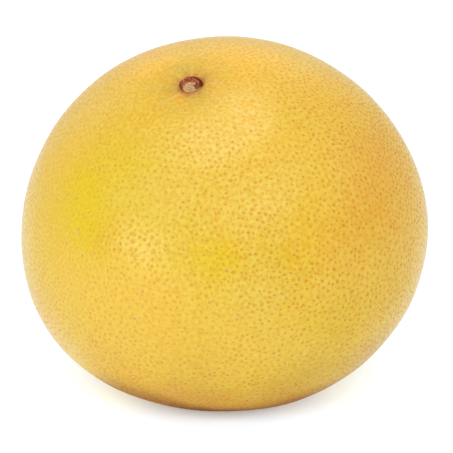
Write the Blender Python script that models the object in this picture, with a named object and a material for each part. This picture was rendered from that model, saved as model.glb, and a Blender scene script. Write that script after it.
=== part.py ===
"""A whole ripe pink grapefruit, picked, resting on a small flat spot of its peel.

The fruit grew as one piece, so it is one closed solid: a slightly flattened globe with
soft swells, a shallow basin at the stem end holding the round scar that the calyx left,
and a small dimple at the blossom end. It rests as it settled, with the stem end up and
leaning to the front left. Metres, +Z up, the surface it rests on is Z = 0.
"""

import math

import bmesh
import bpy
from mathutils import Matrix, Vector, noise

# The globe: its widest radius, and how much of that radius is left along the stem axis.
EQUATOR_RADIUS = 0.0545
STEM_AXIS_RATIO = 0.912

# The way the stem end points while the fruit rests.
STEM_AXIS = Vector((-0.1707, -0.3935, 0.9033)).normalized()

# Soft swells (+) and flats (-) of the peel: the way out from the middle, in the resting
# pose, and the height as a share of the radius. Each fades out over the same spread.
SWELLS = (
    (Vector((0.985, -0.054, -0.165)), 0.0195),
    (Vector((-0.087, -0.308, -0.947)), -0.0477),
    (Vector((-0.906, -0.131, -0.402)), 0.0230),
    (Vector((-0.643, 0.237, 0.729)), 0.0160),
    (Vector((0.766, 0.199, 0.611)), -0.0096),
    (Vector((0.000, -0.946, -0.324)), -0.0079),
)
SWELL_SPREAD = 0.15

# Faint unevenness of the whole peel.
LUMP_WIDTH = 0.017
LUMP_HEIGHT = 0.00022

# The sunken basin at the stem end and the creases that run out of it.
BASIN_DEPTH = 0.0011
BASIN_RADIUS = 0.0085
CREASE_COUNT = 7
CREASE_DEPTH = 0.00022
CREASE_HALF_ANGLE = math.radians(8.0)
CREASE_START = 0.0035
CREASE_FULL = 0.0070
CREASE_END = 0.0150
CREASE_STRAY = 0.3
CREASE_STRAY_RHYTHM = 2.3

# The scar that the calyx left: a raised rim, a sloping wall and a low corky floor.
SCAR_RIM_RADIUS = 0.0030
SCAR_FLOOR_RADIUS = 0.0023
SCAR_DEPTH = 0.0008
SCAR_OVAL_SHARE = 0.05
SCAR_OVAL_BEARING = 0.6
SCAR_CORNER_SHARE = 0.03
SCAR_CORNER_BEARING = 2.0
SCAR_RIM_HEIGHT = 0.00012
SCAR_RIM_WIDTH = 0.0004
SCAR_BOSS_HEIGHT = 0.00018
SCAR_BOSS_RADIUS = 0.0011

# The blossom end: a shallow dimple with the small ring that the style left.
DIMPLE_DEPTH = 0.0008
DIMPLE_RADIUS = 0.0070
STYLE_RING_RADIUS = 0.0016
STYLE_RING_WIDTH = 0.0005
STYLE_RING_HEIGHT = 0.00020

# How deep the resting spot is pressed flat.
REST_SPOT_DEPTH = 0.0005

# Fineness of the surface: columns round the axis, and the gap between rings. The gap
# grows from a scar's edge outwards, up to that of the plain peel.
COLUMNS = 60
PEEL_STEP = 0.0042
SCAR_STEP = 0.00045
STYLE_STEP = 0.0006
STEP_GROWTH = 0.30
# Points closer than this on the spun globe, of radius 1, are one point.
POLE_MERGE_DISTANCE = 0.00002
# A point this close to the cutting plane counts as on it.
ON_PLANE_DISTANCE = 0.0000001

# Golden yellow, softly shining.
PEEL_COLOR = (0.83, 0.52, 0.075, 1.0)
PEEL_ROUGHNESS = 0.42


def clear_scene():
    """Take every object out of the scene."""
    for item in list(bpy.data.objects):
        bpy.data.objects.remove(item, do_unlink=True)


def smooth_step(low, high, value):
    """0 below low, 1 above high, and an even S between them."""
    share = min(max((value - low) / (high - low), 0.0), 1.0)
    return share * share * (3.0 - 2.0 * share)


def bell(distance, width):
    """A smooth hump, 1 at distance 0."""
    return math.exp(-((distance / width) ** 2))


def resting_turn():
    """The turn from the fruit's own frame, stem along +Z, to the way it rests."""
    side = (Vector((1.0, 0.0, 0.0)) - STEM_AXIS * STEM_AXIS.x).normalized()
    back = STEM_AXIS.cross(side)
    return Matrix((side, back, STEM_AXIS)).transposed()


def ring_angles():
    """Angles of the rings from the stem end, close together at both ends of the axis."""
    angles = [0.0]
    while angles[-1] < math.pi:
        from_stem = angles[-1] * EQUATOR_RADIUS
        from_blossom = (math.pi - angles[-1]) * EQUATOR_RADIUS
        beyond_scar = max(0.0, from_stem - SCAR_RIM_RADIUS - 2.0 * SCAR_RIM_WIDTH)
        beyond_style = max(0.0, from_blossom - STYLE_RING_RADIUS - 2.0 * STYLE_RING_WIDTH)
        step = min(
            PEEL_STEP,
            SCAR_STEP + STEP_GROWTH * beyond_scar,
            STYLE_STEP + STEP_GROWTH * beyond_style,
        )
        angles.append(angles[-1] + step / EQUATOR_RADIUS)
    stretch = math.pi / angles[-1]
    return [angle * stretch for angle in angles]


def globe_radius(direction, turn):
    """Distance from the middle to the plain peel along a direction of the fruit's frame."""
    flattened = Vector((direction.x, direction.y, direction.z / STEM_AXIS_RATIO))
    radius = EQUATOR_RADIUS / flattened.length
    outward = turn @ direction
    swelling = 1.0
    for middle, height in SWELLS:
        away = 1.0 - outward.dot(middle.normalized())
        swelling += height * math.exp(-away / SWELL_SPREAD)
    lump = noise.noise(direction * (EQUATOR_RADIUS / LUMP_WIDTH))
    return radius * swelling + LUMP_HEIGHT * lump


def crease_depth(distance, bearing):
    """Depth of the creases that run out from the stem scar, at a distance and a bearing."""
    fade = smooth_step(CREASE_START, CREASE_FULL, distance)
    fade *= 1.0 - smooth_step(CREASE_FULL, CREASE_END, distance)
    depth = 0.0
    for index in range(CREASE_COUNT):
        middle = math.tau * index / CREASE_COUNT
        middle += CREASE_STRAY * math.sin(CREASE_STRAY_RHYTHM * index)
        turn_away = math.remainder(bearing - middle, math.tau)
        depth += CREASE_DEPTH * bell(turn_away, CREASE_HALF_ANGLE)
    return depth * fade


def stem_end_height(distance, bearing):
    """How far the peel rises (+) or sinks (-) along the axis round the stem scar."""
    height = -BASIN_DEPTH * bell(distance, BASIN_RADIUS)
    height -= crease_depth(distance, bearing)
    uneven = 1.0 + SCAR_OVAL_SHARE * math.sin(2.0 * bearing + SCAR_OVAL_BEARING)
    uneven += SCAR_CORNER_SHARE * math.sin(3.0 * bearing + SCAR_CORNER_BEARING)
    rim = SCAR_RIM_RADIUS * uneven
    floor = SCAR_FLOOR_RADIUS * uneven
    height -= SCAR_DEPTH * (1.0 - smooth_step(floor, rim, distance))
    height += SCAR_RIM_HEIGHT * bell(distance - rim - 0.5 * SCAR_RIM_WIDTH, SCAR_RIM_WIDTH)
    height += SCAR_BOSS_HEIGHT * bell(distance, SCAR_BOSS_RADIUS)
    return height


def blossom_end_height(distance):
    """How far the peel rises (+) or sinks (-) along the axis round the blossom end."""
    height = -DIMPLE_DEPTH * bell(distance, DIMPLE_RADIUS)
    height += STYLE_RING_HEIGHT * bell(distance - STYLE_RING_RADIUS, STYLE_RING_WIDTH)
    return height


def peel_point(direction, turn):
    """The point of the finished peel along a direction, in the fruit's own frame."""
    point = direction * globe_radius(direction, turn)
    distance = math.hypot(point.x, point.y)
    bearing = math.atan2(point.y, point.x)
    if point.z > 0.0:
        point.z += stem_end_height(distance, bearing)
    else:
        point.z -= blossom_end_height(distance)
    return point


def press_rest_spot(bm):
    """Cut the lowest part of the peel away along a level plane and close it flat."""
    lowest = min(vert.co.z for vert in bm.verts)
    cut = bmesh.ops.bisect_plane(
        bm,
        geom=bm.verts[:] + bm.edges[:] + bm.faces[:],
        dist=ON_PLANE_DISTANCE,
        plane_co=(0.0, 0.0, lowest + REST_SPOT_DEPTH),
        plane_no=(0.0, 0.0, -1.0),
        clear_outer=True,
    )
    rim_edges = [item for item in cut["geom_cut"] if isinstance(item, bmesh.types.BMEdge)]
    bmesh.ops.edgeloop_fill(bm, edges=rim_edges)


def stand_on_origin(bm):
    """Move the fruit so that its box is centred over the origin and touches Z = 0."""
    low = Vector([min(vert.co[axis] for vert in bm.verts) for axis in range(3)])
    high = Vector([max(vert.co[axis] for vert in bm.verts) for axis in range(3)])
    foot = Vector(((low.x + high.x) / 2.0, (low.y + high.y) / 2.0, low.z))
    bmesh.ops.translate(bm, vec=-foot, verts=bm.verts)


def build_fruit_mesh():
    """Spin a half circle into a globe, shape it, turn it to rest and press its flat spot."""
    bm = bmesh.new()
    half_circle = [
        bm.verts.new((math.sin(angle), 0.0, math.cos(angle))) for angle in ring_angles()
    ]
    edges = [bm.edges.new(pair) for pair in zip(half_circle, half_circle[1:])]
    bmesh.ops.spin(
        bm,
        geom=half_circle + edges,
        cent=(0.0, 0.0, 0.0),
        axis=(0.0, 0.0, 1.0),
        angle=math.tau,
        steps=COLUMNS,
        use_merge=True,
    )
    bmesh.ops.remove_doubles(bm, verts=bm.verts, dist=POLE_MERGE_DISTANCE)
    turn = resting_turn()
    for vert in bm.verts:
        vert.co = turn @ peel_point(vert.co.normalized(), turn)
    press_rest_spot(bm)
    stand_on_origin(bm)
    bmesh.ops.recalc_face_normals(bm, faces=bm.faces)
    mesh = bpy.data.meshes.new("grapefruit")
    bm.to_mesh(mesh)
    bm.free()
    mesh.shade_smooth()
    return mesh


def peel_material():
    """The thin waxy golden peel."""
    material = bpy.data.materials.new("grapefruit_peel")
    material.use_nodes = True
    shader = material.node_tree.nodes["Principled BSDF"]
    shader.inputs["Base Color"].default_value = PEEL_COLOR
    shader.inputs["Roughness"].default_value = PEEL_ROUGHNESS
    shader.inputs["Metallic"].default_value = 0.0
    return material


def main():
    """Build the grapefruit."""
    clear_scene()
    fruit = bpy.data.objects.new("grapefruit", build_fruit_mesh())
    fruit.data.materials.append(peel_material())
    bpy.context.scene.collection.objects.link(fruit)


main()
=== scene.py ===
# %% [markdown]
# # A pink grapefruit, from its shape to its skin
# The fruit's plain solid is loaded as a fixed frame. This lesson gives it the skin that a
# real one has: thousands of small sunken oil glands, soft colour that changes from lemon
# to orange, a waxy shine, and the dry scar where the calyx came off. Everything is in
# metres, with the fruit resting on Z = 0, so nothing has to be fitted afterwards.

# %% Load the solid
import math
import random

import bmesh
import bpy
from mathutils import Matrix, Vector, noise


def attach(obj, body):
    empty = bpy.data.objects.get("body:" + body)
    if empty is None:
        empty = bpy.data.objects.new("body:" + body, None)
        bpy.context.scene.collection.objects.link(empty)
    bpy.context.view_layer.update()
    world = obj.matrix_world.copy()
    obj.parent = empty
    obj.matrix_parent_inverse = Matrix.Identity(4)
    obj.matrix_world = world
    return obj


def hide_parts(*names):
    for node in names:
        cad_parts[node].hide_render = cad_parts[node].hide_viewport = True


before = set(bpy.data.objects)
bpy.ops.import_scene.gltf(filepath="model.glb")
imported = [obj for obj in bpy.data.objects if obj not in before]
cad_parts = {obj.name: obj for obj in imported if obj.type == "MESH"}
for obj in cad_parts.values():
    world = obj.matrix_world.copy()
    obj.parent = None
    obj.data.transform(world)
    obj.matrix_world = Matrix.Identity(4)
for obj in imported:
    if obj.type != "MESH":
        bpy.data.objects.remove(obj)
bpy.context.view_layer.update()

MM = 0.001

# %% [markdown]
# ## Small helpers for materials
# Colours are picked as sRGB hex values, as a painter would read them off a chart, while
# the shader wants linear light, so one function turns one into the other. Another adds a
# node, its settings and its links in one line, and gives back the output that the next
# node needs, which keeps a long tree readable.

# %% Colour and node helpers
# the two inputs of a Mix node that take colours
MIX_A, MIX_B = 6, 7


def linear(hex_color):
    """An sRGB hex colour as linear red, green, blue and alpha."""
    channels = [int(hex_color[place:place + 2], 16) / 255 for place in (1, 3, 5)]
    low_end = 0.04045
    return [
        value / 12.92 if value <= low_end else ((value + 0.055) / 1.055) ** 2.4
        for value in channels
    ] + [1.0]


def add_node(tree, kind, inputs=None, output=None, **settings):
    """Add a shader node; inputs take values or outputs. Returns its named or live output."""
    node = tree.nodes.new("ShaderNode" + kind)
    for name, value in settings.items():
        setattr(node, name, value)
    for socket, value in (inputs or {}).items():
        if isinstance(value, bpy.types.NodeSocket):
            tree.links.new(value, node.inputs[socket])
        else:
            node.inputs[socket].default_value = value
    if output:
        return node.outputs[output]
    return next(socket for socket in node.outputs if socket.enabled)


def new_material(name):
    """An empty node material with its shader; returns the material, its tree and shader."""
    material = bpy.data.materials.new(name)
    material.use_nodes = True
    return material, material.node_tree, material.node_tree.nodes["Principled BSDF"]


print("gold reads as", [round(value, 3) for value in linear("#F2C650")])

# %% [markdown]
# ## The form of the fruit
# A grapefruit is a globe that is slightly flattened from stem to blossom end and never
# quite even. Sculpting it by hand would lose its link to the solid, so the form is one
# function of a direction from the middle: a flattened globe, a few soft swells, faint
# lumps, a basin with creases at the stem end and a dimple at the blossom end. These are
# the sizes that the solid was made with, so the skin lies exactly on it.

# %% The fruit's own sizes
MIDDLE = Vector((-0.0021, -0.1098, 48.3677)) * MM
EQUATOR_RADIUS = 54.5 * MM
STEM_AXIS_RATIO = 0.912
STEM_AXIS = Vector((-0.1707, -0.3935, 0.9033)).normalized()
SWELL_SPREAD = 0.15
SWELLS = [
    (Vector(way).normalized(), height)
    for way, height in (
        ((0.985, -0.054, -0.165), 0.0195),
        ((-0.087, -0.308, -0.947), -0.0477),
        ((-0.906, -0.131, -0.402), 0.0230),
        ((-0.643, 0.237, 0.729), 0.0160),
        ((0.766, 0.199, 0.611), -0.0096),
        ((0.000, -0.946, -0.324), -0.0079),
    )
]
LUMP_WIDTH, LUMP_HEIGHT = 17.0 * MM, 0.22 * MM

SIDE = (Vector((1.0, 0.0, 0.0)) - STEM_AXIS * STEM_AXIS.x).normalized()
BACK = STEM_AXIS.cross(SIDE)
RESTING_TURN = Matrix((SIDE, BACK, STEM_AXIS)).transposed()


def smooth_step(low, high, value):
    """0 below low, 1 above high, and an even S between them."""
    share = min(max((value - low) / (high - low), 0.0), 1.0)
    return share * share * (3.0 - 2.0 * share)


def bell(distance, width):
    """A smooth hump, 1 at distance 0."""
    return math.exp(-((distance / width) ** 2))


def globe_radius(direction):
    """Distance from the middle to the plain peel along a direction of the fruit's frame."""
    flattened = Vector((direction.x, direction.y, direction.z / STEM_AXIS_RATIO))
    outward = RESTING_TURN @ direction
    swelling = 1.0
    for way, height in SWELLS:
        swelling += height * math.exp((outward.dot(way) - 1.0) / SWELL_SPREAD)
    lump = noise.noise(direction * (EQUATOR_RADIUS / LUMP_WIDTH))
    return EQUATOR_RADIUS / flattened.length * swelling + LUMP_HEIGHT * lump


STEM_REACH = globe_radius(Vector((0.0, 0.0, 1.0)))
print("the stem axis leans", round(math.degrees(math.acos(STEM_AXIS.z)), 1), "degrees")

# %% [markdown]
# ## The two ends of the axis
# Round the stem scar the peel sinks into a shallow basin, and a few creases run out of it
# like the folds round a button. At the other end the style has left a small ring in a
# dimple. Both are heights along the axis, added to the globe, that depend on the distance
# from the axis and, for the creases, on the bearing round it.

# %% Basin, creases and dimple
BASIN_DEPTH, BASIN_RADIUS = 1.1 * MM, 8.5 * MM
CREASE_COUNT, CREASE_DEPTH, CREASE_HALF_ANGLE = 7, 0.22 * MM, math.radians(8.0)
CREASE_START, CREASE_FULL, CREASE_END = 3.5 * MM, 7.0 * MM, 15.0 * MM
CREASE_STRAY, CREASE_STRAY_RHYTHM = 0.3, 2.3
DIMPLE_DEPTH, DIMPLE_RADIUS = 0.8 * MM, 7.0 * MM
STYLE_RING_RADIUS, STYLE_RING_WIDTH, STYLE_RING_HEIGHT = 1.6 * MM, 0.5 * MM, 0.20 * MM


def crease_depth(distance, bearing):
    """Depth of the creases that run out from the stem scar."""
    fade = smooth_step(CREASE_START, CREASE_FULL, distance)
    fade *= 1.0 - smooth_step(CREASE_FULL, CREASE_END, distance)
    if fade == 0.0:
        return 0.0
    depth = 0.0
    for index in range(CREASE_COUNT):
        middle = math.tau * index / CREASE_COUNT
        middle += CREASE_STRAY * math.sin(CREASE_STRAY_RHYTHM * index)
        depth += CREASE_DEPTH * bell(math.remainder(bearing - middle, math.tau), CREASE_HALF_ANGLE)
    return depth * fade


def basin_height(distance, bearing):
    """How far the peel sinks along the axis round the stem scar, without the scar."""
    return -BASIN_DEPTH * bell(distance, BASIN_RADIUS) - crease_depth(distance, bearing)


def dimple_height(distance):
    """How far the peel sinks or rises along the axis round the blossom end."""
    ring = STYLE_RING_HEIGHT * bell(distance - STYLE_RING_RADIUS, STYLE_RING_WIDTH)
    return ring - DIMPLE_DEPTH * bell(distance, DIMPLE_RADIUS)


print(CREASE_COUNT, "creases, in a basin", BASIN_DEPTH / MM, "mm deep")

# %% [markdown]
# ## The stem scar's relief
# The calyx tore off and left a round scar: a thin raised rim, a wall that slopes down to a
# corky floor, and an edge that runs out shallow on the side that faces the front. The
# relief is a height again. The floor is grainy and carries the small pits where the
# vessels of the stalk came through.

# %% Scar relief
SCAR_RIM, SCAR_FLOOR, SCAR_DEPTH = 3.0 * MM, 2.3 * MM, 0.8 * MM
SCAR_RIM_HEIGHT, SCAR_RIM_WIDTH = 0.12 * MM, 0.4 * MM
SCAR_BOSS_HEIGHT, SCAR_BOSS_RADIUS = 0.18 * MM, 1.1 * MM
SCAR_SHALLOW_BEARING, SCAR_SHALLOW_WIDTH, SCAR_SHALLOW_SHARE = math.radians(-62.0), 0.75, 0.62
SHALLOW_RIM_LOSS = 0.7
SCAR_OVAL_SHARE, SCAR_OVAL_BEARING = 0.05, 0.6
SCAR_CORNER_SHARE, SCAR_CORNER_BEARING = 0.03, 2.0
VESSEL_COUNT, VESSEL_RING, VESSEL_WIDTH, VESSEL_DEPTH = 9, 1.25 * MM, 0.17 * MM, 0.14 * MM
VESSEL_TURN, VESSEL_TURN_RHYTHM = 0.25, 5.1
VESSEL_STRAY, VESSEL_STRAY_RHYTHM = 0.18, 3.7


def scar_unevenness(bearing):
    """The scar is slightly oval and slightly cornered: its radius as a share of the mean."""
    oval = SCAR_OVAL_SHARE * math.sin(2.0 * bearing + SCAR_OVAL_BEARING)
    return 1.0 + oval + SCAR_CORNER_SHARE * math.sin(3.0 * bearing + SCAR_CORNER_BEARING)


def scar_height(distance, bearing):
    """Height of the scar's surface over the basin."""
    uneven = scar_unevenness(bearing)
    shallow = bell(math.remainder(bearing - SCAR_SHALLOW_BEARING, math.tau), SCAR_SHALLOW_WIDTH)
    inside = 1.0 - smooth_step(SCAR_FLOOR * uneven, SCAR_RIM * uneven, distance)
    away = distance / (SCAR_FLOOR * uneven)
    depth = SCAR_DEPTH * (1.0 - SCAR_SHALLOW_SHARE * shallow * min(1.0, away))
    rim_distance = distance - SCAR_RIM * uneven - 0.5 * SCAR_RIM_WIDTH
    height = SCAR_RIM_HEIGHT * bell(rim_distance, SCAR_RIM_WIDTH)
    height *= 1.0 - SHALLOW_RIM_LOSS * shallow
    return height - depth * inside + SCAR_BOSS_HEIGHT * bell(distance, SCAR_BOSS_RADIUS)


def vessel_pits(across, along):
    """Depth of the ring of vessel pits at a place on the floor, in metres from its middle."""
    depth = 0.0
    for index in range(VESSEL_COUNT):
        bearing = math.tau * index / VESSEL_COUNT
        bearing += VESSEL_TURN * math.sin(VESSEL_TURN_RHYTHM * index)
        ring = VESSEL_RING * (1.0 + VESSEL_STRAY * math.sin(VESSEL_STRAY_RHYTHM * index))
        gap = math.hypot(across - ring * math.cos(bearing), along - ring * math.sin(bearing))
        depth += VESSEL_DEPTH * bell(gap, VESSEL_WIDTH)
    return depth


print("scar", 2 * SCAR_RIM / MM, "mm wide and", SCAR_DEPTH / MM, "mm deep")

# %% [markdown]
# ## A lattice of oil glands
# A citrus peel is packed with oil glands, here about 1.7 mm apart, in an order that looks
# even but never lines up. A subdivided icosahedron gives one point for each gland with
# even gaps. Its rows would show, so some edges are turned at random, each point is nudged,
# and smoothing lets the points settle, which is much how crowded cells settle too.

# %% Gland lattice
GLAND_CUTS = 36
TURNED_EDGE_SHARE = 0.16
TURNING_ROUNDS, SETTLE_ROUNDS, SETTLE_FACTOR = 2, 3, 0.5
NUDGE = 0.38
SEED = 20
MEAN_RADIUS = 51.0

dice = random.Random(SEED)
skin_bm = bmesh.new()
bmesh.ops.create_icosphere(skin_bm, subdivisions=1, radius=1.0)
bmesh.ops.subdivide_edges(skin_bm, edges=skin_bm.edges, cuts=GLAND_CUTS, use_grid_fill=True)
for vert in skin_bm.verts:
    vert.co.normalize()

# the side of the triangles, if as many points covered the sphere in even triangles
gap = math.sqrt(8.0 * math.pi / math.sqrt(3.0) / len(skin_bm.verts))


def settle(rounds):
    """Let every point move towards the middle of its neighbours, along the sphere."""
    for _ in range(rounds):
        bmesh.ops.smooth_vert(
            skin_bm, verts=skin_bm.verts, factor=SETTLE_FACTOR,
            use_axis_x=True, use_axis_y=True, use_axis_z=True,
        )
        for vert in skin_bm.verts:
            vert.co.normalize()


for _ in range(TURNING_ROUNDS):
    touched = set()
    to_turn = []
    for edge in dice.sample(skin_bm.edges[:], int(TURNED_EDGE_SHARE * len(skin_bm.edges))):
        near = {corner.index for face in edge.link_faces for corner in face.verts}
        if not near & touched:
            touched |= near
            to_turn.append(edge)
    bmesh.ops.rotate_edges(skin_bm, edges=to_turn, use_ccw=False)
    settle(SETTLE_ROUNDS)
settle(SETTLE_ROUNDS)
for vert in skin_bm.verts:
    vert.co += Vector([dice.uniform(-1.0, 1.0) for _ in range(3)]) * gap * NUDGE
settle(1)

gland_count = len(skin_bm.verts)
print(gland_count, "glands, about", round(gap * MEAN_RADIUS, 2), "mm apart")

# %% [markdown]
# ## A map round every gland
# Each spot has to stay round however close the camera comes, so every gland gets a small
# flat map of its own. One more subdivision puts six small faces round each gland, and
# their corners note how far they are from it, in millimetres. Each gland also gets two
# numbers of its own, its size and its tone. Faces that touch no gland sit far outside.

# %% Gland map and gland numbers
FAR_AWAY = (9.0, 9.0)
GLAND_MAP = "gland_mm"
SMALLEST_GLAND, LARGEST_GLAND, GLAND_SPREAD = 0.62, 1.35, 0.13

bmesh.ops.subdivide_edges(skin_bm, edges=skin_bm.edges, cuts=1, use_grid_fill=True)
skin_bm.verts.ensure_lookup_table()
skin_bm.verts.index_update()
gland_map = skin_bm.loops.layers.uv.new(GLAND_MAP)
size_layer = skin_bm.faces.layers.float.new("gland_size")
tone_layer = skin_bm.faces.layers.float.new("gland_tone")
gland_sizes = [
    min(LARGEST_GLAND, max(SMALLEST_GLAND, dice.gauss(1.0, GLAND_SPREAD)))
    for _ in range(gland_count)
]
gland_tones = [dice.random() for _ in range(gland_count)]

for face in skin_bm.faces:
    owner = next((vert for vert in face.verts if vert.index < gland_count), None)
    face[size_layer] = gland_sizes[owner.index] if owner else 1.0
    face[tone_layer] = gland_tones[owner.index] if owner else 0.5
    if owner is None:
        for loop in face.loops:
            loop[gland_map].uv = FAR_AWAY
        continue
    outward = owner.co
    first = outward.orthogonal().normalized()
    second = outward.cross(first)
    for loop in face.loops:
        offset = (loop.vert.co - owner.co) * MEAN_RADIUS
        loop[gland_map].uv = (offset.dot(first), offset.dot(second))
print(len(skin_bm.faces), "small faces carry the gland map")

# %% [markdown]
# ## Finer faces at both ends
# The creases and the edge of the scar need faces of a fraction of a millimetre, and the
# rest of the peel doesn't. So only the edges near the two ends of the axis are cut again.

# %% Refine the ends
REFINED_ENDS = (
    # 1 for the stem end and -1 for the other, reach in mm
    (1.0, 9.0),
    (1.0, 5.5),
    (-1.0, 4.0),
)
for end, reach in REFINED_ENDS:
    cosine = math.cos(reach / MEAN_RADIUS)
    close = [
        edge for edge in skin_bm.edges
        if all(vert.co.normalized().z * end > cosine for vert in edge.verts)
    ]
    bmesh.ops.subdivide_edges(skin_bm, edges=close, cuts=1, use_grid_fill=True)
bmesh.ops.triangulate(skin_bm, faces=skin_bm.faces)
print(len(skin_bm.faces), "faces after refining")

# %% [markdown]
# ## Wrap the lattice on the fruit
# Every point now moves from the plain sphere to the fruit's form. Glands are pressed in a
# little, deeper for larger ones. Under the scar the peel is sunk, to leave a bed for the
# scar's own piece. Last, the lowest part is pressed flat where the fruit rests.

# %% Form the skin
GLAND_DEPTH = 0.075 * MM
RIPPLE_WIDTH, RIPPLE_HEIGHT = 4.2 * MM, 0.018 * MM
SCAR_BED_DEPTH = 0.30 * MM
SCAR_EDGE, SCAR_EDGE_SOFTNESS = 3.42 * MM, 0.16 * MM
GLAND_FREE_NEAR, GLAND_FREE_FAR = 4.0 * MM, 9.0 * MM
INSIDE_THE_BOX = 0.9988

skin_bm.verts.ensure_lookup_table()
for number, vert in enumerate(skin_bm.verts):
    direction = vert.co.normalized()
    point = direction * globe_radius(direction)
    distance, bearing = math.hypot(point.x, point.y), math.atan2(point.y, point.x)
    ripple = noise.noise(direction * (EQUATOR_RADIUS / RIPPLE_WIDTH)) * RIPPLE_HEIGHT
    if point.z > 0.0:
        point.z += basin_height(distance, bearing)
        point.z += scar_height(distance, bearing)
        edge = SCAR_EDGE * scar_unevenness(bearing)
        point.z -= SCAR_BED_DEPTH * (1.0 - smooth_step(edge - SCAR_EDGE_SOFTNESS, edge, distance))
    else:
        point.z -= dimple_height(distance)
    if number < gland_count:
        ripple -= GLAND_DEPTH * gland_sizes[number] * smooth_step(
            GLAND_FREE_NEAR, GLAND_FREE_FAR, distance
        )
    point += direction * ripple
    vert.co = (MIDDLE + RESTING_TURN @ point) * INSIDE_THE_BOX
    vert.co.z = max(vert.co.z, 0.0)
bmesh.ops.recalc_face_normals(skin_bm, faces=skin_bm.faces)
print("skin spans", [
    round((max(v.co[axis] for v in skin_bm.verts) - min(v.co[axis] for v in skin_bm.verts)) / MM, 2)
    for axis in range(3)
], "mm")

# %% [markdown]
# ## A map for keeping the looks
# When the finished fruit is used elsewhere, its colours are kept in a picture, and the
# picture needs a map. Six square sheets, one for each face of a cube round the fruit, have
# little stretch and leave almost nothing of the picture empty.

# %% Six-sheet map
SHEET_MARGIN = 0.012
BAKE_MAP = "OFBake"

bake_map = skin_bm.loops.layers.uv.new(BAKE_MAP)
for face in skin_bm.faces:
    way = face.calc_center_median() - MIDDLE
    axis = max(range(3), key=lambda index: abs(way[index]))
    sheet = 2 * axis + (way[axis] > 0.0)
    column, row = sheet % 3, sheet // 3
    for loop in face.loops:
        ray = loop.vert.co - MIDDLE
        across = math.atan2(ray[(axis + 1) % 3], abs(ray[axis])) / (math.pi / 2) + 0.5
        along = math.atan2(ray[(axis + 2) % 3], abs(ray[axis])) / (math.pi / 2) + 0.5
        across = SHEET_MARGIN + across * (1.0 - 2.0 * SHEET_MARGIN)
        along = SHEET_MARGIN + along * (1.0 - 2.0 * SHEET_MARGIN)
        loop[bake_map].uv = ((column + across) / 3.0, (row + along) / 2.0)


def finished_piece(name, bm, material):
    """A smooth mesh object at the origin, with its material, that rides on the fruit."""
    mesh = bpy.data.meshes.new(name)
    bm.to_mesh(mesh)
    bm.free()
    mesh.shade_smooth()
    mesh.materials.append(material)
    piece = bpy.data.objects.new(name, mesh)
    bpy.context.scene.collection.objects.link(piece)
    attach(piece, "root")
    print(name, "has", len(mesh.polygons), "faces")
    return piece


# %% [markdown]
# ## Peel: the colours of ripeness and painted shade
# The peel is a living, waxy skin over white pith. Its yellow deepens to orange where the
# sun reached it and stays lemon, nearly green, where leaves shaded it. Low down it is
# tan and browner, partly its own colour and partly painted shade, darkest next to the
# floor. Fourteen colours are enough for all of that. The first three make a slow mottling
# of the whole peel: a wide noise decides where the gold gives way to pale lemon or to honey.

# %% Colours and slow mottling
PEEL_COLORS = {
    "gold": "#C3A22D", "pale lemon": "#BFA63B", "honey": "#C8A236",
    "lemon": "#C0A505", "straw": "#C4A748", "cream": "#D1B567",
    # ochre, tan, brown and dark brown also serve as painted shade low down on the fruit
    "bright gold": "#D0A517", "mustard": "#BE9B08", "amber": "#C29435", "ochre": "#B08920",
    "olive": "#A7962A", "tan": "#B0803C", "brown": "#82532C", "dark brown": "#684228",
}
WANDER_WIDTH, PATCH_WANDER = 22.0 * MM, 9.0 * MM
SLOW_WIDTH = 34.0 * MM
SLOW_TINTS = (
    # the noise where a tint starts to count and where it counts in full, strength, colour
    (0.48, 0.66, 0.65, "pale lemon"),
    (0.50, 0.32, 0.55, "honey"),
)

peel, peel_tree, peel_shader = new_material("waxy_citrus_peel")
place = add_node(peel_tree, "TexCoord", output="Object")
wander = add_node(
    peel_tree, "TexNoise",
    {"Vector": place, "Scale": 1 / WANDER_WIDTH, "Detail": 3.0}, "Color",
)
centred = add_node(
    peel_tree, "VectorMath", {0: wander, 1: (0.5, 0.5, 0.5)},
    operation="SUBTRACT",
)
pushed = add_node(
    peel_tree, "VectorMath", {0: centred, "Scale": 2.0 * PATCH_WANDER},
    operation="SCALE",
)
wandering = add_node(peel_tree, "VectorMath", {0: place, 1: pushed}, operation="ADD")
mottle = add_node(
    peel_tree, "TexNoise",
    {"Vector": wandering, "Scale": 1 / SLOW_WIDTH, "Detail": 4.0, "Roughness": 0.55},
)
color = linear(PEEL_COLORS["gold"])
for low, high, most, tint in SLOW_TINTS:
    share = add_node(
        peel_tree, "MapRange",
        {"Value": mottle, "From Min": low, "From Max": high, "To Max": most},
        interpolation_type="SMOOTHSTEP",
    )
    color = add_node(
        peel_tree, "Mix",
        {0: share, MIX_A: color, MIX_B: linear(PEEL_COLORS[tint])}, data_type="RGBA",
    )
print(len(PEEL_COLORS), "colours of ripeness")
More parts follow.
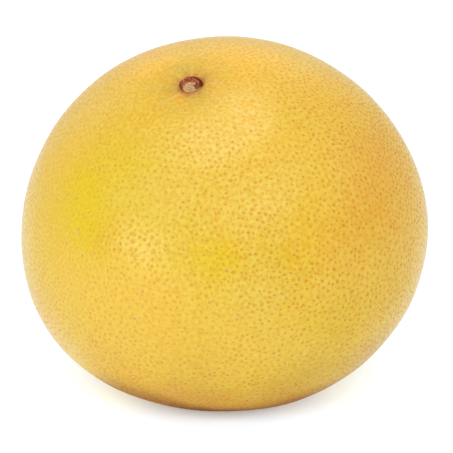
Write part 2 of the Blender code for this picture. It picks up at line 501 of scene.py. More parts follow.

# %% [markdown]
# ## Peel: patches of ripeness, painted shade and a painted sheen
# Ripeness is not spread by chance alone, it has places: the lemon side that hung in the
# shade, the amber shoulder. Low down, the ochre, tan and brown patches are partly the peel's
# own colour and partly painted shade where the fruit turns down towards the floor. Two pale
# straw patches on the front are a painted sheen. Each is a soft round patch at a chosen
# place on the fruit. The same noise that moves the slow mottling pushes their borders
# about, so no patch looks like a disc.

# %% Patches of ripeness, painted shade and sheen
PATCH_RADIUS = 52.0 * MM
PATCHES = (
    # the way out from the middle, reach in mm, softness in mm, strength, colour
    ((-0.66, -0.68, 0.32), 11.0, 5.0, 0.85, "lemon"),
    ((-0.44, -0.72, 0.53), 8.0, 5.0, 0.80, "pale lemon"),
    ((-0.54, -0.68, 0.50), 9.0, 6.0, 0.55, "lemon"),
    ((-0.85, -0.50, 0.10), 9.0, 8.0, 0.70, "gold"),
    ((-0.64, -0.20, 0.74), 12.0, 9.0, 0.70, "straw"),
    ((-0.06, -0.98, 0.15), 6.0, 5.0, 0.70, "lemon"),
    ((0.18, -0.92, 0.35), 8.0, 7.0, 0.60, "straw"),
    ((0.44, -0.74, 0.50), 12.0, 8.0, 0.75, "gold"),
    ((0.74, -0.47, 0.48), 11.0, 12.0, 0.75, "amber"),
    ((0.52, -0.30, 0.80), 11.0, 9.0, 0.70, "honey"),
    ((0.72, -0.66, 0.18), 14.0, 10.0, 0.60, "amber"),
    ((0.70, -0.71, -0.05), 8.0, 8.0, 0.60, "gold"),
    ((0.82, -0.55, -0.16), 9.0, 8.0, 0.70, "mustard"),
    ((0.57, -0.78, -0.25), 9.0, 8.0, 0.70, "mustard"),
    ((-0.30, -0.26, 0.92), 7.0, 6.0, 0.75, "mustard"),
    ((0.12, -0.21, 0.97), 9.0, 8.0, 0.70, "bright gold"),
    ((-0.36, -0.15, 0.92), 8.0, 6.0, 0.60, "bright gold"),
    ((-0.28, -0.90, 0.28), 9.0, 8.0, 0.60, "pale lemon"),
    ((-0.04, -0.77, 0.64), 6.0, 5.0, 0.70, "straw"),
    ((0.10, -0.60, 0.79), 8.0, 7.0, 0.65, "cream"),
    ((-0.44, -0.81, 0.39), 6.5, 5.0, 0.70, "pale lemon"),
    ((-0.11, -0.69, 0.72), 7.0, 6.0, 0.70, "straw"),
    ((0.00, -0.92, 0.40), 6.5, 6.0, 0.60, "straw"),
    # painted shade, partly the peel's own ochre: these three patches darken the lower front towards
    # the floor
    ((-0.10, -0.90, -0.44), 11.0, 8.0, 0.60, "ochre"),
    ((0.35, -0.77, -0.54), 10.0, 8.0, 0.60, "ochre"),
    ((0.70, -0.49, -0.52), 11.0, 7.0, 0.75, "ochre"),
    ((-0.42, -0.88, -0.20), 14.0, 10.0, 0.70, "honey"),
    ((0.10, -0.96, -0.26), 13.0, 9.0, 0.60, "honey"),
    ((-0.50, -0.70, -0.51), 10.0, 7.0, 0.50, "amber"),
    ((-0.87, -0.39, -0.30), 9.0, 7.0, 0.50, "amber"),
    # painted shade, partly the peel's own tan: these tan, brown and dark brown patches darken the
    # underside, most next to the floor
    ((-0.20, -0.74, -0.64), 9.0, 6.0, 0.50, "tan"),
    ((0.05, -0.45, -0.88), 24.0, 10.0, 0.80, "tan"),
    ((-0.36, -0.42, -0.84), 15.0, 7.0, 0.80, "brown"),
    ((0.43, -0.34, -0.84), 16.0, 7.0, 0.80, "brown"),
    ((0.00, -0.42, -0.91), 17.0, 7.0, 0.90, "dark brown"),
    ((0.00, 0.20, -0.98), 26.0, 14.0, 0.80, "tan"),
    # painted sheen: these two pale straw patches lighten the peel where a soft highlight lies
    ((-0.25, -0.85, 0.45), 7.0, 5.0, 0.50, "straw"),
    ((0.23, -0.83, 0.51), 6.0, 5.0, 0.60, "straw"),
    ((-0.33, -0.66, 0.67), 6.0, 5.0, 0.55, "pale lemon"),
    ((-0.49, -0.85, 0.20), 6.0, 5.0, 0.45, "mustard"),
    ((0.33, -0.94, 0.11), 7.0, 6.0, 0.35, "mustard"),
    ((-0.15, 0.90, 0.42), 24.0, 22.0, 0.60, "gold"),
    ((0.62, 0.70, -0.10), 20.0, 20.0, 0.60, "amber"),
)


def patch_value(way, reach, softness, inside, outside=0.0):
    """A value that is one number inside a patch of the peel and another outside."""
    spot = MIDDLE + Vector(way).normalized() * PATCH_RADIUS
    away = add_node(peel_tree, "VectorMath", {0: wandering, 1: spot}, operation="DISTANCE")
    return add_node(
        peel_tree, "MapRange",
        {
            "Value": away, "From Min": (reach + softness) * MM,
            "From Max": max(0.0, reach - softness) * MM, "To Min": outside, "To Max": inside,
        },
        interpolation_type="SMOOTHSTEP",
    )


for way, reach, softness, strength, tint in PATCHES:
    share = patch_value(way, reach, softness, strength)
    color = add_node(
        peel_tree, "Mix",
        {0: share, MIX_A: color, MIX_B: linear(PEEL_COLORS[tint])}, data_type="RGBA",
    )
print(len(PATCHES), "patches of ripeness over the slow mottling")

# %% [markdown]
# ## Peel: rings round the stem scar
# The sunken skin round the scar is duller: ochre, then brown, with a thin halo at the
# scar's edge. Rings of colour could be painted on a map, but then their edges would look
# drawn. Here the distance from the scar's middle drives them, and a fine noise is added to
# the distance first, which makes every edge ragged.

# %% Rings round the scar
SCAR_MIDDLE = MIDDLE + RESTING_TURN @ Vector((0.0, 0.0, STEM_REACH - BASIN_DEPTH))
SCAR_MIDDLE *= INSIDE_THE_BOX
GRAIN_WIDTH, RAGGED_EDGE = 2.4 * MM, 3.0 * MM
RING_CORE, RING_SOFTNESS = 4.4, 1.5
RINGS = (
    # reach in mm, strength, colour
    (15.0, 0.55, "#AC8A10"),
    (8.0, 0.50, "#A4781C"),
    (6.4, 0.62, "#9A6822"),
    (4.4, 0.70, "#8A4C18"),
)
grain = add_node(
    peel_tree, "TexNoise",
    {"Vector": place, "Scale": 1 / GRAIN_WIDTH, "Detail": 5.0, "Roughness": 0.65},
)
from_scar = add_node(peel_tree, "VectorMath", {0: place, 1: SCAR_MIDDLE}, operation="DISTANCE")
ragged = add_node(
    peel_tree, "Math", {0: grain, 1: RAGGED_EDGE, 2: from_scar},
    operation="MULTIPLY_ADD",
)
for reach, strength, tint in RINGS:
    share = add_node(
        peel_tree, "MapRange",
        {
            "Value": ragged, "From Min": (reach + RING_SOFTNESS) * MM,
            "From Max": RING_CORE * MM, "To Max": strength,
        },
        interpolation_type="SMOOTHSTEP",
    )
    color = add_node(
        peel_tree, "Mix", {0: share, MIX_A: color, MIX_B: linear(tint)},
        data_type="RGBA",
    )
print("scar middle in mm:", [round(value / MM, 1) for value in SCAR_MIDDLE])

# %% [markdown]
# ## Peel: streaks and blotches at the stem end
# The skin was drawn together here as the fruit swelled, so pale and dark streaks run out
# from the scar along the creases, between blotches of olive and orange. A noise that reads
# only the way out from the scar is the same all along that way, and so makes streaks. A
# plain one makes blotches. Both fade out with the distance from the scar. Last come two
# small spots beside the scar where the skin has stayed green, with ragged edges too.

# %% Streaks and blotches
STREAK_SCALE, BLOTCH_WIDTH = 3.4, 4.5 * MM
STREAKS_FULL = 4.0
GREEN_SPOTS = (
    # across and along in mm from the scar's middle, reach in mm, strength
    (3.9, -2.4, 3.2, 0.75),
    (-1.9, 7.8, 4.6, 0.60),
)
SPOT_RAGGED_EDGE = 1.6 * MM
ray = add_node(peel_tree, "VectorMath", {0: place, 1: SCAR_MIDDLE}, operation="SUBTRACT")
ray = add_node(peel_tree, "VectorMath", {0: ray}, operation="NORMALIZE")
streaks = add_node(
    peel_tree, "TexNoise",
    {"Vector": ray, "Scale": STREAK_SCALE, "Detail": 4.0},
)
blotches = add_node(
    peel_tree, "TexNoise", {"Vector": place, "Scale": 1 / BLOTCH_WIDTH, "Detail": 3.0}
)
for source, low, high, reach, strength, tint in (
    # the noise, where it starts to count, where it counts in full, reach in mm, strength, colour
    (streaks, 0.50, 0.72, 13.0, 0.36, "#D8BC5C"),
    (streaks, 0.46, 0.34, 11.0, 0.35, "#A47E18"),
    (blotches, 0.52, 0.64, 17.0, 0.45, "#AE9A1E"),
    (blotches, 0.46, 0.36, 15.0, 0.40, "#D6A02C"),
):
    share = add_node(
        peel_tree, "MapRange",
        {"Value": source, "From Min": low, "From Max": high, "To Max": strength},
        interpolation_type="SMOOTHSTEP",
    )
    near = add_node(
        peel_tree, "MapRange",
        {"Value": ragged, "From Min": reach * MM, "From Max": STREAKS_FULL * MM},
        interpolation_type="SMOOTHSTEP",
    )
    share = add_node(peel_tree, "Math", {0: share, 1: near}, operation="MULTIPLY")
    color = add_node(
        peel_tree, "Mix", {0: share, MIX_A: color, MIX_B: linear(tint)},
        data_type="RGBA",
    )
for across, along, reach, strength in GREEN_SPOTS:
    spot = SCAR_MIDDLE + RESTING_TURN @ Vector((across, along, 0.0)) * MM
    away = add_node(peel_tree, "VectorMath", {0: place, 1: spot}, operation="DISTANCE")
    away = add_node(
        peel_tree, "Math", {0: grain, 1: SPOT_RAGGED_EDGE, 2: away},
        operation="MULTIPLY_ADD",
    )
    share = add_node(
        peel_tree, "MapRange",
        {"Value": away, "From Min": reach * MM, "From Max": 0.0, "To Max": strength},
        interpolation_type="SMOOTHSTEP",
    )
    color = add_node(
        peel_tree, "Mix",
        {0: share, MIX_A: color, MIX_B: linear(PEEL_COLORS["olive"])}, data_type="RGBA",
    )
print("blotches", BLOTCH_WIDTH / MM, "mm wide")

# %% [markdown]
# ## Peel: fine mottling
# Between the glands the peel isn't one colour either: the white pith shines through in
# spots about a millimetre wide, and the pigment lies unevenly. A small noise decides where
# the colour is deeper and where it is paler. The same noise later raises the skin a
# little, because the paler spots are also the ones that stand up. The side that hung in
# the shade and the lower front are more even, so there it counts for less.

# %% Fine mottling
MOTTLE_WIDTH, MOTTLE_LOW, MOTTLE_HIGH = 0.95 * MM, 0.36, 0.64
DEEPER_SPOT = "#F9E8AA"
EVEN_PLACES = (
    # the way out from the middle, reach in mm, softness in mm, share of the mottling left
    ((-0.80, -0.50, 0.00), 32.0, 18.0, 0.50),
    ((0.15, -0.85, -0.45), 26.0, 16.0, 0.75),
)
freckle = add_node(
    peel_tree, "TexNoise",
    {"Vector": place, "Scale": 1 / MOTTLE_WIDTH, "Detail": 2.0, "Roughness": 0.6},
)
freckle_share = add_node(
    peel_tree, "MapRange",
    {"Value": freckle, "From Min": MOTTLE_LOW, "From Max": MOTTLE_HIGH},
    interpolation_type="SMOOTHSTEP",
)
for way, reach, softness, left in EVEN_PLACES:
    even = patch_value(way, reach, softness, left, 1.0)
    freckle_share = add_node(peel_tree, "Math", {0: freckle_share, 1: even}, operation="MULTIPLY")
freckle_tint = add_node(
    peel_tree, "Mix",
    {0: freckle_share, MIX_A: linear("#FFFFFF"), MIX_B: linear(DEEPER_SPOT)}, data_type="RGBA",
)
color = add_node(
    peel_tree, "Mix", {0: 1.0, MIX_A: color, MIX_B: freckle_tint},
    data_type="RGBA", blend_type="MULTIPLY",
)
print("mottling", MOTTLE_WIDTH / MM, "mm wide")

# %% [markdown]
# ## Peel: the oil glands
# Light goes deeper into a gland than into the skin between, so each shows as a soft dot of
# darker orange, some 0.8 mm wide. The gland's own map gives the distance from its middle,
# and a fine noise frays the edge of the dot.

# %% Gland dots
GLAND_DOT, GLAND_DOT_CORE = 0.56, 0.04
FRAY, FRAY_WIDTH = 0.36, 0.6 * MM
own_map = add_node(peel_tree, "UVMap", uv_map=GLAND_MAP)
size = add_node(peel_tree, "Attribute", output="Fac", attribute_name="gland_size")
from_gland = add_node(peel_tree, "VectorMath", {0: own_map}, operation="LENGTH")
edge_noise = add_node(
    peel_tree, "TexNoise", {"Vector": place, "Scale": 1 / FRAY_WIDTH, "Detail": 2.0}
)
fray = add_node(peel_tree, "Math", {0: edge_noise, 1: 0.5}, operation="SUBTRACT")
frayed = add_node(
    peel_tree, "Math", {0: fray, 1: FRAY, 2: from_gland},
    operation="MULTIPLY_ADD",
)
scaled = add_node(
    peel_tree, "Math", {0: frayed, 1: size},
    operation="DIVIDE",
)
dot = add_node(
    peel_tree, "MapRange",
    {"Value": scaled, "From Min": GLAND_DOT, "From Max": GLAND_DOT_CORE},
    interpolation_type="SMOOTHSTEP",
)
print("gland dots up to", 2 * GLAND_DOT, "mm wide")

# %% [markdown]
# ## Peel: strength of the dots
# No two glands are equally full, so each has a strength of its own. Whole areas differ too:
# where the peel is lemon yellow, and round the stem, the glands hardly differ from the
# skin. The factors are multiplied one after the other.

# %% Strength of the dots
AREA_WIDTH, AREA_LOW, AREA_HIGH = 20.0 * MM, 0.35, 0.65
WEAKEST_GLAND, WEAKEST_AREA = 0.35, 0.75
GLAND_TINT = "#E7B250"
FAINT_PLACES = (
    # the way out from the middle, reach in mm, softness in mm, share of the dots left
    ((-0.80, -0.50, 0.30), 22.0, 12.0, 0.28),
    ((-0.42, -0.56, 0.72), 10.0, 9.0, 0.58),
    ((-0.45, -0.85, -0.25), 26.0, 14.0, 0.65),
    ((0.05, -0.90, 0.40), 26.0, 14.0, 0.88),
    ((-0.35, -0.86, 0.36), 9.0, 8.0, 0.75),
    ((0.05, -0.62, 0.78), 14.0, 10.0, 0.65),
    ((-0.17, -0.39, 0.90), 13.0, 9.0, 0.20),
    ((-0.45, -0.20, 0.87), 17.0, 12.0, 0.45),
    ((-0.09, -0.77, 0.64), 8.0, 7.0, 0.70),
    ((0.16, -0.10, 0.98), 15.0, 12.0, 0.55),
    ((0.12, -0.92, -0.35), 22.0, 14.0, 0.84),
)
tone = add_node(peel_tree, "Attribute", output="Fac", attribute_name="gland_tone")
own_strength = add_node(
    peel_tree, "MapRange", {"Value": tone, "To Min": WEAKEST_GLAND, "To Max": 1.0}
)
area_noise = add_node(
    peel_tree, "TexNoise", {"Vector": place, "Scale": 1 / AREA_WIDTH, "Detail": 2.0}
)
area_strength = add_node(
    peel_tree, "MapRange",
    {
        "Value": area_noise, "From Min": AREA_LOW, "From Max": AREA_HIGH, "To Min": WEAKEST_AREA
    },
)
dot_share = dot
for factor in [own_strength, area_strength] + [
    patch_value(way, reach, softness, left, 1.0) for way, reach, softness, left in FAINT_PLACES
]:
    dot_share = add_node(peel_tree, "Math", {0: dot_share, 1: factor}, operation="MULTIPLY")
dot_tint = add_node(
    peel_tree, "Mix", {0: 1.0, MIX_A: color, MIX_B: linear(GLAND_TINT)},
    data_type="RGBA", blend_type="MULTIPLY",
)
color = add_node(peel_tree, "Mix", {0: dot_share, MIX_A: color, MIX_B: dot_tint}, data_type="RGBA")
print(len(FAINT_PLACES), "areas with faint dots")

# %% [markdown]
# ## Peel: dried glands
# Here and there the skin over a gland has dried and let air in. Such a gland is a duller
# brown than the others and has a pale ring. The gland's tone number picks them.

# %% Dried glands
DRIED_ABOVE = 0.968
DRIED_RING_EDGE, DRIED_RING_FULL, DRIED_RING_SHARE = 0.75, 0.35, 0.45
dried = add_node(peel_tree, "Math", {0: tone, 1: DRIED_ABOVE}, operation="GREATER_THAN")
dried_ring = add_node(
    peel_tree, "MapRange",
    {
        "Value": scaled, "From Min": DRIED_RING_EDGE, "From Max": DRIED_RING_FULL,
        "To Max": DRIED_RING_SHARE,
    },
    interpolation_type="SMOOTHSTEP",
)
for share, amount, tint in (
    # where the colour goes, strength, colour
    (dried_ring, 0.35, "#D0AC4C"),
    (dot, 0.55, "#A27A48"),
):
    for factor in (amount, dried):
        share = add_node(peel_tree, "Math", {0: share, 1: factor}, operation="MULTIPLY")
    color = add_node(
        peel_tree, "Mix", {0: share, MIX_A: color, MIX_B: linear(tint)},
        data_type="RGBA",
    )
peel_tree.links.new(color, peel_shader.inputs["Base Color"])
print("dried glands:", round(100.0 * (1.0 - DRIED_ABOVE), 1), "% of all")

# %% [markdown]
# ## Peel: relief
# The bump adds what the mesh is too coarse for: the pore in each gland, the raised spots
# between them and a fine grain. All three are added up to one height first, because bumps
# laid one over the other would each need a node of their own. The wax follows the skin but
# gathers round the pores, so it gets the same height with a little more strength.

# %% Relief
PORE_DEPTH, SPOT_HEIGHT, GRAIN_DEPTH = 0.10, 0.10, 0.06
WAX_BUMP = 1.3
relief = add_node(peel_tree, "Math", {0: dot, 1: -PORE_DEPTH}, operation="MULTIPLY")
for height, source in ((-SPOT_HEIGHT, freckle), (GRAIN_DEPTH, grain)):
    relief = add_node(
        peel_tree, "Math", {0: source, 1: height, 2: relief}, operation="MULTIPLY_ADD"
    )
for strength, socket in ((1.0, "Normal"), (WAX_BUMP, "Coat Normal")):
    bump = add_node(
        peel_tree, "Bump", {"Height": relief, "Distance": strength * MM, "Strength": 1.0}
    )
    peel_tree.links.new(bump, peel_shader.inputs[socket])
print("bump up to", PORE_DEPTH, "mm deep")

# %% [markdown]
# ## Peel: shine
# The skin itself is nearly matt, and a thin sharper coat of wax over it carries the shine,
# which the relief breaks up into small glints round the glands. One broad gloss alone
# would look like plastic. Low down, where the fruit was rubbed on its neighbours, the wax
# is worn off and the skin is dull.

# %% Shine
WAX_IOR, WAX_ROUGHNESS, WAX_WEIGHT = 1.45, 0.06, 0.52
SKIN_SPECULAR = 0.05
GRAIN_LOW, GRAIN_HIGH = 0.3, 0.7
SKIN_ROUGHNESS_LOW, SKIN_ROUGHNESS_HIGH, DOT_ROUGHNESS = 0.40, 0.54, 0.10
UNDERSIDE, RUBBED_ROUGHNESS = (0.0, -0.30, -0.95), 0.45
RUBBED_REACH, RUBBED_SOFTNESS = 26.0, 16.0
WORN_REACH, WORN_SOFTNESS = 40.0, 14.0
roughness = add_node(
    peel_tree, "MapRange",
    {
        "Value": grain, "From Min": GRAIN_LOW, "From Max": GRAIN_HIGH,
        "To Min": SKIN_ROUGHNESS_LOW, "To Max": SKIN_ROUGHNESS_HIGH,
    },
)
roughness = add_node(
    peel_tree, "Math", {0: dot_share, 1: DOT_ROUGHNESS, 2: roughness},
    operation="MULTIPLY_ADD",
)
rubbed = patch_value(UNDERSIDE, RUBBED_REACH, RUBBED_SOFTNESS, RUBBED_ROUGHNESS)
roughness = add_node(peel_tree, "Math", {0: rubbed, 1: roughness}, operation="ADD")
wax_weight = patch_value(UNDERSIDE, WORN_REACH, WORN_SOFTNESS, 0.0, WAX_WEIGHT)
peel_tree.links.new(roughness, peel_shader.inputs["Roughness"])
peel_tree.links.new(wax_weight, peel_shader.inputs["Coat Weight"])
peel_shader.inputs["IOR"].default_value = WAX_IOR
peel_shader.inputs["Specular IOR Level"].default_value = SKIN_SPECULAR
peel_shader.inputs["Coat Roughness"].default_value = WAX_ROUGHNESS
peel_shader.inputs["Coat IOR"].default_value = WAX_IOR

skin = finished_piece("peel_skin", skin_bm, peel)
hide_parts("grapefruit")

# %% [markdown]
# ## The stem scar as a piece
# The scar is dry cork, not peel, and far finer in detail than the skin round it. So it is
# a piece of its own that sits in the bed left for it: half a profile, spun round the stem
# axis, then given the scar's relief point by point. Its skirt runs down into the peel, and
# a flat underside closes it.

# %% Scar mesh
SCAR_STEP, SCAR_COLUMNS = 0.085 * MM, 120
SKIRT_DEPTH, UNDERSIDE_DEPTH = 0.22 * MM, 0.9 * MM
GRIT_WIDTH, GRIT_HEIGHT = 0.42 * MM, 0.15 * MM
GRIT_FALLOFF, GRIT_FINER, GRIT_OCTAVES = 1.0, 2.0, 3
SCAR_MAP = "scar_mm"
SCAR_SLANT, SCAR_NARROW, SCAR_TALL = 0.193, 1.01, 0.95
SPIN_MERGE_DISTANCE = 0.0005 * MM

scar_bm = bmesh.new()
ring_count = math.ceil(SCAR_EDGE / SCAR_STEP)
profile = [
    scar_bm.verts.new((SCAR_EDGE * ring / ring_count, 0.0, 0.0)) for ring in range(ring_count + 1)
]
profile.append(scar_bm.verts.new((SCAR_EDGE, 0.0, -SKIRT_DEPTH)))
profile.append(scar_bm.verts.new((0.0, 0.0, -SKIRT_DEPTH)))
profile_edges = [scar_bm.edges.new(pair) for pair in zip(profile, profile[1:])]
bmesh.ops.spin(
    scar_bm, geom=profile + profile_edges, cent=(0.0, 0.0, 0.0), axis=(0.0, 0.0, 1.0),
    angle=math.tau, steps=SCAR_COLUMNS, use_merge=True,
)
bmesh.ops.remove_doubles(scar_bm, verts=scar_bm.verts, dist=SPIN_MERGE_DISTANCE)

scar_map = scar_bm.loops.layers.uv.new(SCAR_MAP)
for face in scar_bm.faces:
    for loop in face.loops:
        across, along = loop.vert.co.x / MM, loop.vert.co.y / MM
        uneven = scar_unevenness(math.atan2(along, across))
        along += SCAR_SLANT * across
        loop[scar_map].uv = (across * uneven * SCAR_NARROW, along * uneven * SCAR_TALL)

for vert in scar_bm.verts:
    across, along, sunk = vert.co
    distance, bearing = math.hypot(across, along), math.atan2(along, across)
    uneven = scar_unevenness(bearing)
    across, along, distance = across * uneven, along * uneven, distance * uneven
    direction = Vector((across, along, STEM_REACH)).normalized()
    point = direction * globe_radius(direction)
    floor_share = 1.0 - smooth_step(SCAR_FLOOR * uneven, SCAR_EDGE * uneven, distance)
    spot = Vector((across, along, 0.0)) / GRIT_WIDTH
    grit = noise.fractal(spot, GRIT_FALLOFF, GRIT_FINER, GRIT_OCTAVES)
    point.z += basin_height(distance, bearing) + scar_height(distance, bearing)
    if sunk < 0.0:
        point.z -= UNDERSIDE_DEPTH if distance < SCAR_FLOOR else SKIRT_DEPTH + SCAR_BED_DEPTH
    else:
        point.z += GRIT_HEIGHT * grit * floor_share
        point.z -= vessel_pits(across, along) * floor_share
    vert.co = (MIDDLE + RESTING_TURN @ point) * INSIDE_THE_BOX
bmesh.ops.recalc_face_normals(scar_bm, faces=scar_bm.faces)
print("scar piece:", len(scar_bm.faces), "faces")

# %% [markdown]
# ## Scar: the grain of the cork
# Cork forms over the torn stalk and dries to crumbs and flakes. The scar's own map, in
# millimetres from its middle, places everything on it. A noise makes the crumbs and a cell
# pattern the flakes, about half a millimetre wide. The crumbs are also added to every
# distance that is measured on the map, so that no border of a zone looks drawn.

# %% Cork grain
CRUMBS_PER_MM, FLAKES_PER_MM = 2.1, 1.7
CRUMB_LOW, CRUMB_HIGH = 0.38, 0.60
cork, cork_tree, cork_shader = new_material("dry_stem_cork")
cork_place = add_node(cork_tree, "UVMap", uv_map=SCAR_MAP)
crumbs = add_node(
    cork_tree, "TexNoise",
    {"Vector": cork_place, "Scale": CRUMBS_PER_MM, "Detail": 3.0, "Roughness": 0.65},
)
contrast = add_node(
    cork_tree, "MapRange",
    {"Value": crumbs, "From Min": CRUMB_LOW, "From Max": CRUMB_HIGH},
    interpolation_type="SMOOTHSTEP",
)
flakes = add_node(cork_tree, "TexVoronoi", {"Vector": cork_place, "Scale": FLAKES_PER_MM})
measures = {"flakes": flakes}
for name, spot, raggedness in (
    # the measure, the place it starts from on the map, how ragged the crumbs make it
    ("from the middle", (0.0, 0.0, 0.0), 0.5),
    ("from the floor", (-0.16, -0.10, 0.0), 0.7),
    ("from the stain", (2.7, 0.3, 0.0), 2.2),
    ("from the dark wall", (3.1, 0.9, 0.0), 1.3),
):
    away = add_node(cork_tree, "VectorMath", {0: cork_place, 1: spot}, operation="DISTANCE")
    measures[name] = add_node(
        cork_tree, "Math", {0: crumbs, 1: raggedness, 2: away},
        operation="MULTIPLY_ADD",
    )
print("the cork is placed by", ", ".join(measures))

# %% [markdown]
# ## Scar: three kinds of cork
# The floor is pale and crumbly, the stain on its right is brown where sap dried on it, and
# the wall is red-brown. Each has a dark colour in its hollows, a pale one on its crumbs and
# a touch of a third: dark flakes on the floor, pale ones on the stain, and a darker side of
# the wall.

# %% Kinds of cork
cork_colors = {}
for zone, hollow, crumb, touch, measure, low, high, most in (
    # the zone, its three colours, what places the touch, where it starts and is full, strength
    ("floor", "#8A6238", "#CAA678", "#553018", "flakes", 0.24, 0.12, 0.8),
    ("stain", "#552812", "#784426", "#A87C5A", "flakes", 0.28, 0.14, 0.8),
    ("wall", "#6E240E", "#A95E3E", "#541E06", "from the dark wall", 2.6, 1.4, 1.0),
):
    grained = add_node(
        cork_tree, "Mix",
        {0: contrast, MIX_A: linear(hollow), MIX_B: linear(crumb)}, data_type="RGBA",
    )
    share = add_node(
        cork_tree, "MapRange",
        {"Value": measures[measure], "From Min": low, "From Max": high, "To Max": most},
        interpolation_type="SMOOTHSTEP",
    )
    cork_colors[zone] = add_node(
        cork_tree, "Mix", {0: share, MIX_A: grained, MIX_B: linear(touch)},
        data_type="RGBA",
    )
print("kinds of cork:", ", ".join(cork_colors))

# %% [markdown]
# ## Scar: zones from the middle outwards
# On most sides the floor ends at a wall with a fine dark edge. On the side that faces the
# front the scar merges with the peel without a wall, so there the cork just turns ochre.
# Which side a place is on follows from the way out from the scar's middle. The zones are
# laid over the floor one after the other, like glazes.

# %% Zones of the scar
MERGING_WAY = (math.cos(SCAR_SHALLOW_BEARING), math.sin(SCAR_SHALLOW_BEARING), 0.0)
MERGING_START, MERGING_FULL, MERGING_RAGGED_EDGE = 0.86, 1.06, 0.3
way_out = add_node(cork_tree, "VectorMath", {0: cork_place}, operation="NORMALIZE")
facing = add_node(cork_tree, "VectorMath", {0: way_out, 1: MERGING_WAY}, operation="DOT_PRODUCT")
facing = add_node(
    cork_tree, "Math", {0: crumbs, 1: MERGING_RAGGED_EDGE, 2: facing},
    operation="MULTIPLY_ADD",
)
merging = add_node(
    cork_tree, "MapRange",
    {"Value": facing, "From Min": MERGING_START, "From Max": MERGING_FULL},
    interpolation_type="SMOOTHSTEP",
)
walled = add_node(cork_tree, "Math", {0: 1.0, 1: merging}, operation="SUBTRACT")
cork_color = cork_colors["floor"]
for tint, measure, low, high, most, side in (
    # the colour, what places it, where it starts and is full in mm, strength, side
    (cork_colors["stain"], "from the stain", 3.52, 3.10, 1.0, 1.0),
    (cork_colors["wall"], "from the floor", 2.36, 2.66, 1.0, walled),
    (linear("#4A1606"), "from the middle", 2.96, 3.18, 0.9, walled),
    (linear("#8E6C30"), "from the middle", 2.20, 2.90, 1.0, merging),
    (linear("#9A6822"), "from the middle", 3.30, 3.50, 1.0, 1.0),
):
    share = add_node(
        cork_tree, "MapRange",
        {"Value": measures[measure], "From Min": low, "From Max": high, "To Max": most},
        interpolation_type="SMOOTHSTEP",
    )
    share = add_node(cork_tree, "Math", {0: share, 1: side}, operation="MULTIPLY")
    cork_color = add_node(
        cork_tree, "Mix", {0: share, MIX_A: cork_color, MIX_B: tint}, data_type="RGBA"
    )
cork_tree.links.new(cork_color, cork_shader.inputs["Base Color"])
print("the scar merges with the peel at", round(math.degrees(SCAR_SHALLOW_BEARING)), "degrees")

# %% [markdown]
# ## Scar: relief and finish of the cork
# The mesh has the wall, the pits and the coarse grit. The crumbs are finer, so they come as
# a bump. Dry cork doesn't shine: its crumbs are rough, the hollows between a little less.

# %% Cork relief
CRUMB_HEIGHT = 0.20 * MM
CORK_ROUGHNESS_LOW, CORK_ROUGHNESS_HIGH = 0.70, 0.95
CORK_SPECULAR = 0.15
cork_bump = add_node(
    cork_tree, "Bump", {"Height": crumbs, "Distance": CRUMB_HEIGHT, "Strength": 1.0}
)
cork_roughness = add_node(
    cork_tree, "MapRange",
    {"Value": crumbs, "To Min": CORK_ROUGHNESS_LOW, "To Max": CORK_ROUGHNESS_HIGH},
)
cork_tree.links.new(cork_bump, cork_shader.inputs["Normal"])
cork_tree.links.new(cork_roughness, cork_shader.inputs["Roughness"])
cork_shader.inputs["Specular IOR Level"].default_value = CORK_SPECULAR

scar = finished_piece("stem_scar", scar_bm, cork)

# %% [markdown]
# ## Floor
# A plain white card, level under the fruit and wide enough to fill the view. It glows very
# faintly, as thin white card does when light comes through it from below, and this keeps
# the shadow round the fruit as pale as it is in the photograph.

# %% White floor
FLOOR_SIZE, FLOOR_ROUGHNESS = 6.0, 0.85
FLOOR_COLOR, GLOW_COLOR, GLOW_STRENGTH = "#E3F1FC", "#FFE9CC", 0.17
floor_material, _, floor_shader = new_material("white_card")
floor_shader.inputs["Base Color"].default_value = linear(FLOOR_COLOR)
floor_shader.inputs["Roughness"].default_value = FLOOR_ROUGHNESS
floor_shader.inputs["Emission Color"].default_value = linear(GLOW_COLOR)
floor_shader.inputs["Emission Strength"].default_value = GLOW_STRENGTH
floor_bm = bmesh.new()
bmesh.ops.create_grid(floor_bm, x_segments=2, y_segments=2, size=FLOOR_SIZE / 2)
floor_mesh = bpy.data.meshes.new("floor")
floor_bm.to_mesh(floor_mesh)
floor_bm.free()
floor_mesh.materials.append(floor_material)
floor = bpy.data.objects.new("floor", floor_mesh)
bpy.context.scene.collection.objects.link(floor)
print("floor", FLOOR_SIZE, "m wide")

# %% [markdown]
# ## Camera
# The photograph looks slightly down on the fruit through a long lens. The lens follows
# from the fruit's width in the frame, 405 of 453 pixels, at just under half a metre. Two
# small shifts of the picture, in pixels, bring the fruit to its place in the frame.

# %% Camera
ELEVATION = math.radians(18.0)
CAMERA_DISTANCE = 0.47
FRAME_PIXELS, FOCAL_PIXELS = 453.0, 1724.9
SENSOR = 36.0
SHIFT_LEFT, SHIFT_UP = 2.51, 0.49

to_camera = Vector((0.0, -math.cos(ELEVATION), math.sin(ELEVATION)))
right = Vector((1.0, 0.0, 0.0))
upward = to_camera.cross(right)
camera = bpy.data.objects.new("camera", bpy.data.cameras.new("camera"))
camera.data.sensor_width = SENSOR
camera.data.lens = SENSOR * FOCAL_PIXELS / FRAME_PIXELS
camera.data.shift_x = SHIFT_LEFT / FRAME_PIXELS
camera.data.shift_y = -SHIFT_UP / FRAME_PIXELS
camera.location = MIDDLE + to_camera * CAMERA_DISTANCE
camera.rotation_euler = Matrix((right, upward, to_camera)).transposed().to_euler()
bpy.context.scene.collection.objects.link(camera)
bpy.context.scene.camera = camera
print("lens", round(camera.data.lens, 1), "mm")

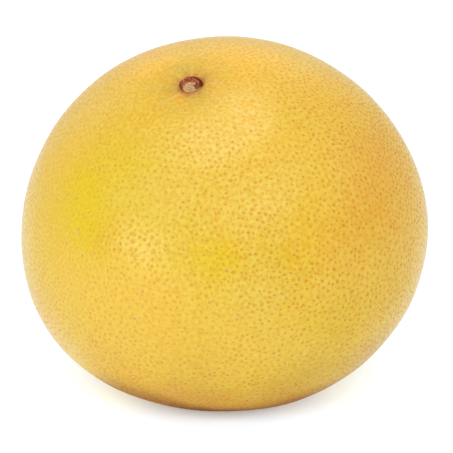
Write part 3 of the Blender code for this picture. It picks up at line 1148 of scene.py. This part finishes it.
# %% [markdown]
# ## Light
# A light tent: white all round, one soft light from the left, one from above, a small one
# from the front, and broad weak ones from the right and behind. They light the fruit alone.
# The floor has a light of its own, broad and low at the camera, so the shadow stays short
# and hides behind the fruit. In Blender such a choice is light linking: a lamp lights only
# the things of one collection.

# %% Lights
lit_fruit = bpy.data.collections.new("lit_fruit")
for piece in (skin, scar):
    lit_fruit.objects.link(piece)
lit_floor = bpy.data.collections.new("lit_floor")
lit_floor.objects.link(floor)
LIGHTS = (
    # name, what it lights, degrees to the right of the camera, degrees up, width, height, watts
    ("left_softbox", lit_fruit, -48.0, 10.0, 0.36, 0.32, 2.0),
    ("top_softbox", lit_fruit, -28.0, 72.0, 0.70, 0.40, 2.9),
    ("front_softbox", lit_fruit, 24.0, 36.0, 0.20, 0.20, 0.6),
    ("right_softbox", lit_fruit, 75.0, 45.0, 0.70, 0.70, 1.6),
    ("back_softbox", lit_fruit, 180.0, 50.0, 0.80, 0.80, 1.3),
    ("floor_wash", lit_floor, 0.0, 28.0, 1.40, 0.28, 16.2),
)
LIGHT_DISTANCE = 0.9
TENT_COLOR, TENT_STRENGTH = "#FFFFFF", 0.92
for name, receivers, round_right, up_angle, width, height, power in LIGHTS:
    round_right, up_angle = math.radians(round_right), math.radians(up_angle)
    way = Vector((
        math.sin(round_right) * math.cos(up_angle),
        -math.cos(round_right) * math.cos(up_angle),
        math.sin(up_angle),
    ))
    lamp = bpy.data.lights.new(name, "AREA")
    lamp.shape = "RECTANGLE"
    lamp.size, lamp.size_y = width, height
    lamp.energy = power
    softbox = bpy.data.objects.new(name, lamp)
    aim = MIDDLE if receivers == lit_fruit else Vector()
    softbox.location = aim + way * LIGHT_DISTANCE
    softbox.rotation_euler = (-way).to_track_quat("-Z", "Y").to_euler()
    softbox.light_linking.receiver_collection = receivers
    bpy.context.scene.collection.objects.link(softbox)

world = bpy.data.worlds.new("light_tent")
bpy.context.scene.world = world
world.use_nodes = True
background = world.node_tree.nodes["Background"]
background.inputs["Color"].default_value = linear(TENT_COLOR)
background.inputs["Strength"].default_value = TENT_STRENGTH
bpy.context.scene.view_settings.view_transform = "Standard"
print(len(LIGHTS), "soft lights and a white tent")
